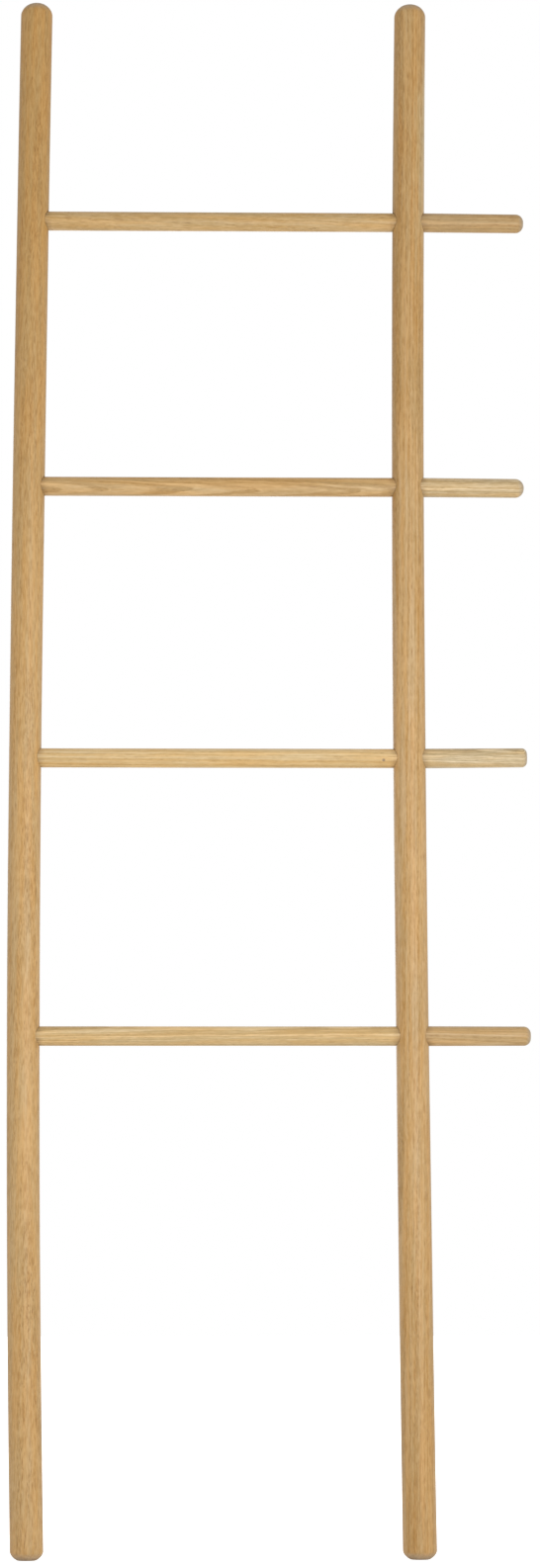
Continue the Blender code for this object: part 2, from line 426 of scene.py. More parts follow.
def make_rail(name, node, line, sides, bore_end, phase, foot_swell, worn_off):
    """One rail: the windowed pole, and a socket for each window on each of these sides. A side is 1
    for the right and -1 for the left."""
    def girth(angle, height):
        return rail_girth(angle, height, phase, foot_swell)

    sheets = [pole_sheet(line, girth, sides, worn_off)]
    for side in sides:
        for level in rung_heights:
            sheets.append(socket_sheet(line, girth, side, level, bore_end))
    rail = make_piece(name, sheets)
    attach(rail, "root")
    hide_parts(node)
    return rail


left_rail = make_rail(
    "left_pole", "left_rail", left_line, sides=[1], bore_end=socket_floor - BLIND_BORE,
    phase=0.4, foot_swell=0, worn_off=2 * MM,
)
right_rail = make_rail(
    "right_pole", "right_rail", right_line, sides=[-1, 1], bore_end=0,
    phase=2.1, foot_swell=0.5 * MM, worn_off=1 * MM,
)

# %% [markdown]
# ## The rungs and the pegs
#
# A rung is a dowel rod with square ends, hidden in its sockets. A peg is a short one whose free end
# was rounded over by hand, each a little differently. One profile per rod is carried round its
# axis: out from the bottom of the screw's bore, across the end face, over a fine arris, along the
# side and over the other end.

# %% Rod profiles
ROD_COLUMNS = 64
BORE_DEPTH = 30.2 * MM
SEATED_ROUND = 0.8 * MM
SEATED_STEPS = 5
ROD_FAULTS = 0.6  # a thin rod's faults, as a share of a pole's


def bored_end(radius):
    """Rows from the floor of the bore, back along it, across the end face and over its arris."""
    out, along = eased_edge(SEATED_ROUND, FULL_ROUND, SEATED_STEPS)
    bore_out = np.array([0, SCREW_BORE_RADIUS, SCREW_BORE_RADIUS])
    bore_along = np.array([BORE_DEPTH, BORE_DEPTH, 0])
    rows_out = np.concatenate([bore_out, radius - SEATED_ROUND + out])
    return rows_out, np.concatenate([bore_along, along])


def rod_sheet(node, second_end, phase, taper, reach):
    """A rod: rings round its axis, with the radius of each row, a slight taper along it, and small
    faults of hand work. reach is how far it goes past its nominal length."""
    start, direction, length = rod_axis(node)
    length += reach
    first_out, first_along = bored_end(rung_radius)
    last_out, last_along = second_end
    side = even_steps(first_along[-1], length - last_along[-1], ROW_STEP)[1:-1]
    out = np.concatenate([first_out, np.full(len(side), rung_radius), last_out[::-1]])
    along = np.concatenate([first_along, side, length - last_along[::-1]])
    angle = np.arange(ROD_COLUMNS) * 2 * math.pi / ROD_COLUMNS
    angle, place = np.meshgrid(angle, along)
    fault = hand_worked(angle, place, phase) * ROD_FAULTS + taper * (0.5 - place / length)
    radius = out[:, None] * (1 + fault / rung_radius)
    sideways = np.cross(direction, [0, 1, 0])
    upward = np.cross(sideways, direction)
    ring = np.cos(angle)[..., None] * sideways + np.sin(angle)[..., None] * upward
    return start + place[..., None] * direction + radius[..., None] * ring, None


# %% Make the rungs and the pegs
TIP_ROUNDS = (8.6 * MM, 9.8 * MM, 5.6 * MM, 7.6 * MM)  # from the top peg down
TIP_REACHES = (1.3 * MM, 0.9 * MM, 1.0 * MM, 0.4 * MM)  # past the nominal length
PEG_TAPER = 0.3 * MM
PEG_PHASE = 5  # sets the pegs' faults off from the rungs'


def make_rod(name, node, second_end, phase, taper=0.0, reach=0.0):
    """One rod. Its first end is bored for a screw, and its second end has the rows given."""
    rod = make_piece(name, [rod_sheet(node, second_end, phase, taper, reach)])
    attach(rod, "root")
    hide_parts(node)
    return rod


rungs = []
pegs = []
for number, (tip_round, reach) in enumerate(zip(TIP_ROUNDS, TIP_REACHES), start=1):
    square_end = bored_end(rung_radius)
    rungs.append(make_rod(f"rung_rod_{number}", f"rung_{number}", square_end, number))
    tip = end_rows(rung_radius, tip_round, NEARLY_ROUND, face_rings=3)
    peg_phase = number + PEG_PHASE
    peg = make_rod(
        f"peg_rod_{number}", f"peg_{number}", tip, peg_phase, taper=PEG_TAPER, reach=reach
    )
    pegs.append(peg)

# %% [markdown]
# ## Tools for materials
#
# A material is a small graph of nodes. It could be put together in the Shader Editor, but then ten
# oak materials would have to be kept alike by hand. Here one helper adds a node and joins its
# inputs, and the others give back a node's result, so that a formula reads as a formula.

# %% Adding a node
def join_or_set(tree, socket, value):
    """Gives a socket another node's output, or a plain value."""
    if isinstance(value, bpy.types.NodeSocket):
        tree.links.new(value, socket)
    else:
        socket.default_value = value


def add_node(tree, kind, inputs=None, **settings):
    """Adds a node. Each input is a value, or another node's output to join to it."""
    made = tree.nodes.new(kind)
    for key, value in settings.items():
        setattr(made, key, value)
    for key, value in (inputs or {}).items():
        join_or_set(tree, made.inputs[key], value)
    return made


def maths(tree, operation, *values):
    """The result of one Math node."""
    made = add_node(tree, "ShaderNodeMath", dict(enumerate(values)), operation=operation)
    return made.outputs[0]


def vector_maths(tree, operation, first, second):
    """The result of one Vector Math node."""
    made = add_node(tree, "ShaderNodeVectorMath", {0: first, 1: second}, operation=operation)
    return made.outputs[0]


# %% Nodes for patterns and colours
def fade(tree, value, start, end, low=0.0, high=1.0):
    """A value that goes smoothly from low to high as the input goes from start to end."""
    sockets = {"Value": value, "From Min": start, "From Max": end, "To Min": low, "To Max": high}
    made = add_node(tree, "ShaderNodeMapRange", sockets, interpolation_type="SMOOTHSTEP")
    return made.outputs["Result"]


def noise(tree, vector, scale, detail=2.0, roughness=0.5):
    """A Noise Texture node."""
    sockets = {"Vector": vector, "Scale": scale, "Detail": detail, "Roughness": roughness}
    return add_node(tree, "ShaderNodeTexNoise", sockets)


def grain_noise(tree, place, squeeze, *settings):
    """A noise drawn out along Z, the grain. Z is squeezed to this share first, so the pattern is
    longer by as much. The settings are the noise's scale, detail and roughness."""
    return noise(tree, vector_maths(tree, "MULTIPLY", place, (1, 1, squeeze)), *settings)


def mixed(tree, share, first, second, blend="MIX"):
    """The colour between two colours, or the one laid over the other in another way."""
    made = add_node(tree, "ShaderNodeMix", data_type="RGBA", blend_type=blend, clamp_factor=True)
    join_or_set(tree, made.inputs[0], share)
    join_or_set(tree, made.inputs[6], first)
    join_or_set(tree, made.inputs[7], second)
    return made.outputs[2]


def new_group(name, inputs, outputs):
    """A node group with named sockets, and its nodes for the inputs and the outputs."""
    group = bpy.data.node_groups.new(name, "ShaderNodeTree")
    for label, kind, value in inputs:
        socket = group.interface.new_socket(name=label, in_out="INPUT", socket_type=kind)
        if value is not None:
            socket.default_value = value
    for label, kind in outputs:
        group.interface.new_socket(name=label, in_out="OUTPUT", socket_type=kind)
    return group, group.nodes.new("NodeGroupInput"), group.nodes.new("NodeGroupOutput")


def new_material(name):
    """A material, its tree of nodes and its Principled shader."""
    material = bpy.data.materials.new(name)
    material.use_nodes = True
    return material, material.node_tree, material.node_tree.nodes["Principled BSDF"]


def give_finish(tree, shader, colour, rough, height, strength, depth):
    """Joins a colour, a roughness and, through a Bump node, a height to the shader."""
    relief = {"Height": height, "Strength": strength, "Distance": depth}
    bump = add_node(tree, "ShaderNodeBump", relief).outputs["Normal"]
    for label, value in {"Base Color": colour, "Roughness": rough, "Normal": bump}.items():
        tree.links.new(value, shader.inputs[label])


# %% [markdown]
# ## How an oak tree grows, as a node group
#
# Painting stripes on a rod never looks like wood, because real grain goes all the way through. So
# the group models the tree: rings round the pith, uneven from year to year and wandering a little
# along the trunk. A rod cut from it then shows straight lines on one side, arches on another and
# ring arcs on its ends, all matching. Oak is ring-porous: each year starts with a band of wide
# pores, which show as fine dark dashes along the grain, and ends with smooth dense wood. Thin rays
# run out from the pith and show as short lines.

# %% Where a point lies in the tree
SLOW_WANDER = (0.08, 22, 1)  # squeeze along the trunk, then a noise's scale and detail
QUICK_RIPPLE = (0.16, 110, 1)
CLOSE_RADIUS = 45 * MM  # a usual distance from the pith, which turns angles into lengths


def pushed(tree, place, field, distance):
    """A place moved by up to half this distance each way, as a noise's colour says."""
    centred = vector_maths(tree, "SUBTRACT", field.outputs["Color"], (0.5, 0.5, 0.5))
    made = add_node(tree, "ShaderNodeVectorMath", {0: centred, "Scale": distance}, operation="SCALE")
    return vector_maths(tree, "ADD", place, made.outputs[0])


def tree_place(tree, place):
    """Distance from the pith, distance round it, and height up the trunk. The distance round is the
    angle times a usual radius."""
    x, y, z = add_node(tree, "ShaderNodeSeparateXYZ", {"Vector": place}).outputs
    flat = add_node(tree, "ShaderNodeCombineXYZ", {"X": x, "Y": y}).outputs[0]
    length = add_node(tree, "ShaderNodeVectorMath", {0: flat}, operation="LENGTH")
    round_pith = maths(tree, "MULTIPLY", maths(tree, "ARCTAN2", y, x), CLOSE_RADIUS)
    return length.outputs["Value"], round_pith, z


# %% Years and cells
UNEVEN_YEARS = 1.6  # how many rings' widths the good and the bad years shift the rings by
YEAR_NOISE = {"Scale": 0.6, "Detail": 1.0}
EARLY_RISE, EARLY_FALL, LATE_RISE = (0.0, 0.06), (0.16, 0.5), (0.45, 0.95)  # shares of a year
STRONG_CELLS = (0.1, 0.9)


def seasons(tree, from_pith, ring_width):
    """Early wood, late wood and a value drawn for each year. The years are the distance from the
    pith over a ring's width, shifted by a slow noise, and the season is their fraction."""
    years = maths(tree, "DIVIDE", from_pith, ring_width)
    slow = {"W": years, **YEAR_NOISE}
    uneven = add_node(tree, "ShaderNodeTexNoise", slow, noise_dimensions="1D")
    years = maths(tree, "MULTIPLY_ADD", uneven.outputs["Fac"], UNEVEN_YEARS, years)
    season = maths(tree, "FRACT", years)
    whole = {"W": maths(tree, "FLOOR", years)}
    year = add_node(tree, "ShaderNodeTexWhiteNoise", whole, noise_dimensions="1D")
    ending = fade(tree, season, *EARLY_FALL, 1.0, 0.0)
    early = maths(tree, "MULTIPLY", ending, fade(tree, season, *EARLY_RISE))
    return early, fade(tree, season, *LATE_RISE), year.outputs["Value"]


def cores(tree, tree_parts, cell_sizes, core):
    """The cores of long thin cells, some strong and some faint. Each part of a place in the tree is
    divided by the cell's size in that direction, and a Voronoi pattern of those has cells of that
    shape. A core fades out between two distances from a cell's middle."""
    parts = {
        axis: maths(tree, "DIVIDE", part, size)
        for axis, part, size in zip("XYZ", tree_parts, cell_sizes)
    }
    place = add_node(tree, "ShaderNodeCombineXYZ", parts).outputs[0]
    made = add_node(tree, "ShaderNodeTexVoronoi", {"Vector": place, "Scale": 1.0})
    shown = fade(tree, made.outputs["Distance"], *core, 1.0, 0.0)
    drawn = add_node(tree, "ShaderNodeSeparateColor", {"Color": made.outputs["Color"]})
    return maths(tree, "MULTIPLY", shown, fade(tree, drawn.outputs[0], *STRONG_CELLS))


# %% The growth group
FLOAT, VECTOR, COLOUR = "NodeSocketFloat", "NodeSocketVector", "NodeSocketColor"
PORE_CELL = (0.4 * MM, 0.4 * MM, 7 * MM)  # out from the pith, round it and along the trunk
RAY_CELL = (14 * MM, 1.4 * MM, 19 * MM)
PORE_CORE, RAY_CORE = (0.25, 0.45), (0.17, 0.42)  # shares of a cell
EARLY_CROWDING, LEAST_PORES = 0.8, 0.2
GROWTH_INPUTS = [("Place", VECTOR, None), ("Ring Width", FLOAT, 3 * MM)]
GROWTH_INPUTS += [("Wander", FLOAT, 5 * MM), ("Ripple", FLOAT, 1.6 * MM)]
GROWTH_OUTPUTS = [(label, FLOAT) for label in ("Early", "Late", "Year", "Pores", "Rays")]
GROWTH_OUTPUTS += [("Grain Place", VECTOR)]


def make_growth_group():
    """The tree's wood at a place. The pith is the Z axis. Wander and Ripple are how far the grain
    leaves a straight line, slowly and quickly."""
    group, given, result = new_group("oak growth", GROWTH_INPUTS, GROWTH_OUTPUTS)
    use = given.outputs
    slow = grain_noise(group, use["Place"], *SLOW_WANDER)
    quick = grain_noise(group, use["Place"], *QUICK_RIPPLE)
    moved = pushed(group, use["Place"], slow, use["Wander"])
    moved = pushed(group, moved, quick, use["Ripple"])
    tree_parts = tree_place(group, moved)
    early, late, year = seasons(group, tree_parts[0], use["Ring Width"])
    crowding = maths(group, "MULTIPLY_ADD", early, EARLY_CROWDING, LEAST_PORES)
    pores = maths(group, "MULTIPLY", cores(group, tree_parts, PORE_CELL, PORE_CORE), crowding)
    rays = cores(group, tree_parts, RAY_CELL, RAY_CORE)
    for (label, _), value in zip(GROWTH_OUTPUTS, (early, late, year, pores, rays, moved)):
        group.links.new(value, result.inputs[label])
    return group


growth_group = make_growth_group()
print("growth group:", len(growth_group.nodes), "nodes")

# %% [markdown]
# ## The colour of oiled oak, as a node group
#
# The growth group says what kind of wood is at a point, and this one how it looks. A board's tone
# lies between its own pale and brown colours. Early wood, the years, slow clouds, fine streaks and
# short flecks push it towards the brown. A drift of hue turns it a little cooler or warmer, as
# minerals and sunlight do. Then come the stains, each with its own share: sun-bleached streaks,
# pale sapwood, dark rays and pores, where dust and oil stay, an amber tone on some rods' sides that
# is also painted shade at the rails' ends, greyer end grain, a knot, and the dark line at a seat,
# which is partly glue and partly painted shade. Most are laid on by multiplying, as a stain lies
# over wood. The group also gives a roughness, and a height for the bump, since the pores stay open
# under oil.

# %% Tones of oiled oak
COOLER, WARMER = (0.96, 1.01, 1.10, 1), (1.04, 0.99, 0.90, 1)
BLEACHED_TONE = (0.66, 0.48, 0.28, 1)
SAPWOOD_TINT = (1.12, 1.36, 1.90, 1)
RAY_TINT = (0.72, 0.64, 0.54, 1)
PORE_TINT = (0.50, 0.40, 0.30, 1)
# An amber tone, which also lays painted shade on the rails' ends, where the light falls off.
AMBER_AND_SHADE_TINT = (0.84, 0.75, 0.52, 1)
END_GRAIN_TONE = (0.37, 0.30, 0.22, 1)
KNOT_TONE = (0.16, 0.11, 0.08, 1)
# The line at a seat: partly glue, partly painted shade in the crease of the joint.
SEAT_GLUE_AND_SHADE_TINT = (0.40, 0.32, 0.26, 1)
CLOUDS = (0.15, 50, 3, 0.55)  # squeeze along the grain, then a noise's scale, detail and roughness
STREAKS = (0.045, 380, 3, 0.6)
FLECKS = (0.12, 680, 2, 0.6)
FLECK_SWING = (-0.5, 0.5)
DRIFTS = (0.05, 170, 2)
BLEACH = (0.02, 230, 1)
EARLY_SHARE, YEAR_SHARE, LATE_SHARE = 0.5, 0.25, 0.12
CLOUD_SHARE, STREAK_SHARE, PORE_SHARE = 0.22, 0.4, 0.75
END_GRAIN_SHARE, KNOT_SHARE = 0.62, 0.7
SOFT, CRISP = (0.3, 0.7), (0.32, 0.68)  # the noise values between which a pattern fades in
BLEACH_EDGE, SAPWOOD_EDGE, SAPWOOD_FEATHER = (0.55, 0.68), (0.3, 1.3), 0.5


def added(tree, total, *pairs):
    """A total with values added to it, each times its own share."""
    for value, share in pairs:
        total = maths(tree, "MULTIPLY_ADD", value, share, total)
    return total


# %% The colour group
KINDS = ("Early", "Late", "Pores", "Rays")
SHOWS = ("Ring Show", "Ray Show", "Streak Show")
STAINS = ("Bleached", "Amber And End Shade", "End Grain", "Seat Glue And Shade", "Sapwood", "Knot")
COLOUR_INPUTS = [("Grain Place", VECTOR, None), ("Year", FLOAT, 0.5), ("Fleck Show", FLOAT, 0.3)]
COLOUR_INPUTS += [(label, FLOAT, 0.0) for label in KINDS + STAINS]
COLOUR_INPUTS += [(label, FLOAT, 1.0) for label in SHOWS]
COLOUR_INPUTS += [("Pale", COLOUR, (0.62, 0.42, 0.2, 1)), ("Brown", COLOUR, (0.45, 0.26, 0.1, 1))]


def plain_wood(group, use, streak):
    """The board's own colour: from pale to brown by the sum of what shows, then a drift of hue."""
    grain = use["Grain Place"]
    cloud = fade(group, grain_noise(group, grain, *CLOUDS).outputs["Fac"], *SOFT)
    fleck = fade(group, grain_noise(group, grain, *FLECKS).outputs["Fac"], *CRISP, *FLECK_SWING)
    drift = fade(group, grain_noise(group, grain, *DRIFTS).outputs["Fac"], *SOFT)
    rings = maths(group, "MULTIPLY", use["Early"], EARLY_SHARE)
    rings = added(group, rings, (use["Year"], YEAR_SHARE), (use["Late"], LATE_SHARE))
    brown = maths(group, "MULTIPLY", rings, use["Ring Show"])
    fine = maths(group, "MULTIPLY", streak, STREAK_SHARE)
    shows = (cloud, CLOUD_SHARE), (fine, use["Streak Show"]), (fleck, use["Fleck Show"])
    colour = mixed(group, added(group, brown, *shows), use["Pale"], use["Brown"])
    hue = mixed(group, drift, COOLER, WARMER)
    return mixed(group, 1.0, colour, hue, "MULTIPLY")


def stained(group, use, streak, colour):
    """A wood colour with every stain laid over it in turn, each by its own share."""
    bleach = grain_noise(group, use["Grain Place"], *BLEACH).outputs["Fac"]
    pale_streak = maths(group, "MULTIPLY", fade(group, bleach, *BLEACH_EDGE), use["Bleached"])
    feathered = maths(group, "MULTIPLY_ADD", streak, SAPWOOD_FEATHER, use["Sapwood"])
    stains = (
        (pale_streak, BLEACHED_TONE, "MIX"),
        (fade(group, feathered, *SAPWOOD_EDGE), SAPWOOD_TINT, "MULTIPLY"),
        (maths(group, "MULTIPLY", use["Rays"], use["Ray Show"]), RAY_TINT, "MULTIPLY"),
        (maths(group, "MULTIPLY", use["Pores"], PORE_SHARE), PORE_TINT, "MULTIPLY"),
        # painted shade towards the rails' ends, and an amber tone on one side of some rods
        (use["Amber And End Shade"], AMBER_AND_SHADE_TINT, "MULTIPLY"),
        (maths(group, "MULTIPLY", use["End Grain"], END_GRAIN_SHARE), END_GRAIN_TONE, "MIX"),
        (maths(group, "MULTIPLY", use["Knot"], KNOT_SHARE), KNOT_TONE, "MIX"),
        # glue and painted shade where a rod enters its rail
        (use["Seat Glue And Shade"], SEAT_GLUE_AND_SHADE_TINT, "MULTIPLY"),
    )
    for share, tone, blend in stains:
        colour = mixed(group, share, colour, tone, blend)
    return colour


# %% Join the colour group
SATIN, PORE_ROUGH, END_ROUGH = 0.44, 0.2, 0.15  # roughness, and what pores and end grain add
LATE_HIGH, STREAK_HIGH, PORE_LOW, RAY_LOW = 0.15, 0.12, -1.0, -0.3


def make_colour_group():
    """The colour, roughness and height of oiled oak. Pores and end grain are rougher than the rest.
    Pores and rays lie low, late wood and streaks a little high."""
    outputs = [("Colour", COLOUR), ("Roughness", FLOAT), ("Height", FLOAT)]
    group, given, result = new_group("oiled oak", COLOUR_INPUTS, outputs)
    use = given.outputs
    streaks = grain_noise(group, use["Grain Place"], *STREAKS).outputs["Fac"]
    streak = fade(group, streaks, *CRISP)
    colour = stained(group, use, streak, plain_wood(group, use, streak))
    rough = added(group, SATIN, (use["Pores"], PORE_ROUGH), (use["End Grain"], END_ROUGH))
    height = maths(group, "MULTIPLY", use["Late"], LATE_HIGH)
    lows = (use["Pores"], PORE_LOW), (use["Rays"], RAY_LOW)
    height = added(group, height, *lows, (streak, STREAK_HIGH))
    for (label, _), value in zip(outputs, (colour, rough, height)):
        group.links.new(value, result.inputs[label])
    return group


colour_group = make_colour_group()
print("colour group:", len(colour_group.nodes), "nodes")

# %% [markdown]
# ## One oak for every piece
#
# Each piece was cut from another board, so each has its own material: its own tones, its own place
# in the tree and its own slope of grain. A UV map would only lay the grain on the skin, and it
# would break at the ends, while Object coordinates go through the piece. A Mapping node of the
# Texture kind puts the tree's pith beside the piece and turns the trunk along it.

# %% The oak material
MASKS = {"End Grain": "end_grain", "Seat Glue And Shade": "seat_glue_and_shade", "Amber And End Shade": "amber_and_end_shade", "Sapwood": "sapwood"}
OILED_WOOD_IOR = 1.45
GRAIN_STRENGTH, GRAIN_DEPTH = 0.5, 0.12 * MM
KNOT_HEART = 0.4  # the share of a knot that is fully dark


def wood_place(tree, place, pith, trunk):
    """A place as the tree sees it: measured from the pith and turned so that the trunk is Z."""
    angles = [math.radians(angle) for angle in trunk]
    turn_in = {"Vector": place, "Location": pith, "Rotation": angles}
    return add_node(tree, "ShaderNodeMapping", turn_in, vector_type="TEXTURE").outputs[0]


def make_oak(piece, pith, trunk, ring_width, pale, brown, knot=None, **looks):
    """An oak material on a piece. pith is a point of the tree's axis, and trunk its turn as three
    angles in degrees. With no turn the trunk runs up along Z. A knot is its centre and its size.
    looks are other inputs of the two groups, by name."""
    material, tree, shader = new_material(piece.name + "_oak")
    place = add_node(tree, "ShaderNodeTexCoord").outputs["Object"]
    growth = add_node(tree, "ShaderNodeGroup", node_tree=growth_group)
    finish = add_node(tree, "ShaderNodeGroup", node_tree=colour_group)
    tree.links.new(wood_place(tree, place, pith, trunk), growth.inputs["Place"])
    growth.inputs["Ring Width"].default_value = ring_width
    for label, _ in GROWTH_OUTPUTS:
        tree.links.new(growth.outputs[label], finish.inputs[label])
    finish.inputs["Pale"].default_value = (*pale, 1)
    finish.inputs["Brown"].default_value = (*brown, 1)
    for name, value in looks.items():
        label = name.replace("_", " ").title()
        node = growth if label in growth.inputs else finish
        node.inputs[label].default_value = value
    for label, mask in MASKS.items():
        stored = add_node(tree, "ShaderNodeAttribute", attribute_name=mask)
        tree.links.new(stored.outputs["Fac"], finish.inputs[label])
    if knot:
        centre, size = knot
        gap = add_node(tree, "ShaderNodeVectorMath", {0: place, 1: centre}, operation="DISTANCE")
        spot = fade(tree, gap.outputs["Value"], KNOT_HEART * size, size, 1.0, 0.0)
        tree.links.new(spot, finish.inputs["Knot"])
    give_finish(tree, shader, *finish.outputs, GRAIN_STRENGTH, GRAIN_DEPTH)
    shader.inputs["IOR"].default_value = OILED_WOOD_IOR
    piece.data.materials.append(material)
    print(f"{material.name}: rings {ring_width / MM:.1f} mm wide")


# %% [markdown]
# ## Masks that follow the surface
#
# Some marks depend on the shape and not on the tree. End grain shows where the surface faces along
# the rod. A fine dark line lies where a rod enters its rail: partly glue, partly painted shade in
# the crease of the joint. The rails are painted darker and more amber towards their ends, a painted
# shade for the light falling off there, and some rods have a darker amber tone on one side. The
# right rail has a strip of pale sapwood above its top peg. A painted texture would need a UV map.
# An attribute is one number for each point of the mesh, and an Attribute node reads it.

# %% Working out the masks
# The dark line at a seat is partly glue and partly painted shade in the crease of the joint.
SEAT_LINE = 0.6 * MM  # how far the dark line reaches
SEAT_STRENGTH = 0.5
END_GRAIN_FACING = (0.3, 0.8)  # none to all, by the share that faces along the rod
# Painted shade: the rails darken towards the top and the foot, where the light falls off.
END_SHADE_TOP, END_SHADE_FOOT = (0.95, 1.55), (0.55, 0.05)  # none to all, by height in metres
SAPWOOD_HEIGHT, SAPWOOD_REACH = 1.61, 0.11  # metres


def ramp(value, start, end):
    """From 0 at the start to 1 at the end, in a straight line."""
    return np.clip((value - start) / (end - start), 0, 1)


def seat_distance(points, seats):
    """How far each point is from the line where a rod enters a rail: its distance from the rod's
    side, joined by Pythagoras with its distance outside the rail, which is 0 inside it."""
    nearest = np.full(len(points), 1.0)
    for middle, side in seats:
        off = points - middle
        from_rod = np.hypot(off[:, 1], off[:, 2]) - rung_radius
        depth = np.sqrt(np.maximum(rail_radius**2 - off[:, 1] ** 2, 0)) - side * off[:, 0]
        near = np.hypot(from_rod, np.minimum(depth, 0))
        near[side * off[:, 0] < 0] = 1.0
        nearest = np.minimum(nearest, near)
    return nearest


def amber_and_end_shade_share(points, ends, sides, middle_height):
    """How much amber tone and painted shade a point gets: up and down from the rail's middle by the
    ends' shares, at the foot and the top, as painted shade where the light falls off, and away from
    a rod's axis by the sides' shares, below and above, as an amber tone."""
    height = points[:, 2]
    off_axis = (height - middle_height) / rung_radius
    amber_and_end_shade = ramp(height, *END_SHADE_TOP) * ends[1] + ramp(height, *END_SHADE_FOOT) * ends[0]
    return amber_and_end_shade + ramp(off_axis, 0, -1) * sides[0] + ramp(off_axis, 0, 1) * sides[1]


def sapwood_share(points):
    """How much sapwood shows on the right rail: more towards +X, in a soft band of heights."""
    off_axis = (points[:, 0] - right_line(points[:, 2])) / rail_radius
    band = np.exp(-(((points[:, 2] - SAPWOOD_HEIGHT) / SAPWOOD_REACH) ** 4))
    return np.clip(off_axis, 0, 1) * band


# %% Painting the masks
def paint_masks(piece, axis, seats, ends=(0.0, 0.0), sides=(0.0, 0.0), sapwood=False):
    """Stores how far each point's surface faces along the axis, the glue and painted shade of the
    line at its seats, its share of amber tone and painted end shade and, where asked, its share of
    sapwood."""
    mesh = piece.data
    points = rows_of_three(mesh.vertices, "co")
    facing = np.abs(rows_of_three(mesh.vertex_normals, "vector") @ np.asarray(axis))
    nearest = seat_distance(points, seats)
    masks = {
        "end_grain": ramp(facing, *END_GRAIN_FACING),
        # the seat line: glue and painted shade
        "seat_glue_and_shade": SEAT_STRENGTH * np.exp(-((nearest / SEAT_LINE) ** 2)),
        # amber tone, with painted shade at the rails' ends
        "amber_and_end_shade": amber_and_end_shade_share(points, ends, sides, seats[0][0][2]),
    }
    if sapwood:
        masks["sapwood"] = sapwood_share(points)
    for name, values in masks.items():
        stored = mesh.attributes.new(name, "FLOAT", "POINT")
        stored.data.foreach_set("value", values.astype(np.float32))
    print(f"{piece.name}: masks {list(masks)}")


# %% Paint every piece
UP, ACROSS = (0, 0, 1), (1, 0, 0)
AMBER_SIDES = {"rung_2": (0.0, 0.3), "rung_3": (0.5, 0.0)}  # below and above
AMBER_SIDES.update({"peg_1": (0.35, 0.0), "peg_2": (0.3, 0.0), "peg_4": (0.45, 0.0)})


def seats_of(line, side):
    """The seats on one side of a rail, from the top down: a point on both axes, and the side."""
    return [(np.array([line(level), 0, level]), side) for level in rung_heights]


left_seats = seats_of(left_line, 1)
right_seats = seats_of(right_line, -1)
peg_seats = seats_of(right_line, 1)
# ends lay painted shade on each rail's foot and top
paint_masks(left_rail, UP, left_seats, ends=(0.15, 0.75))
paint_masks(right_rail, UP, right_seats + peg_seats, ends=(0.42, 0.46), sapwood=True)
for place, (rung, peg) in enumerate(zip(rungs, pegs)):
    rung_sides = AMBER_SIDES.get(f"rung_{place + 1}", (0.0, 0.0))
    paint_masks(rung, ACROSS, [left_seats[place], right_seats[place]], sides=rung_sides)
    peg_sides = AMBER_SIDES.get(f"peg_{place + 1}", (0.0, 0.0))
    paint_masks(peg, ACROSS, [peg_seats[place]], sides=peg_sides)

# %% [markdown]
# ## Which board each piece was cut from
#
# The rails came from straight boards with little figure. The two lower rungs and the two middle
# pegs came from paler ones, and a small knot shows near the third rung's right end. Each piece has
# its pale and brown tones, the place of its pith behind and above its axis, the slope and sweep of
# its grain in degrees, the width of its rings, and how strongly rings, rays, streaks and flecks
# show. One shared material would make ten pieces look like one board.

# %% The rails' oak
RAIL_MIDDLE = 0.9  # the height in metres that the rails' piths pass through
LEFT_OAK = {"pale": (0.591, 0.376, 0.159), "brown": (0.414, 0.222, 0.058)}
LEFT_OAK.update(ring_show=0.25, ray_show=0.6, streak_show=0.4, fleck_show=0.7)
LEFT_OAK.update(wander=7 * MM, ripple=2.6 * MM)
RIGHT_OAK = {"pale": (0.585, 0.375, 0.166), "brown": (0.407, 0.221, 0.059)}
RIGHT_OAK.update(ring_show=0.55, ray_show=0.4, streak_show=0.6, fleck_show=0.55, bleached=0.3)
left_pith = (left_line(RAIL_MIDDLE) - 12 * MM, 50 * MM, RAIL_MIDDLE)
right_pith = (right_line(RAIL_MIDDLE) + 45 * MM, 20 * MM, RAIL_MIDDLE)
make_oak(left_rail, left_pith, (0.7, 0.5, 0), 3.4 * MM, **LEFT_OAK)
make_oak(right_rail, right_pith, (-0.6, 0.3, 0), 3.8 * MM, **RIGHT_OAK)

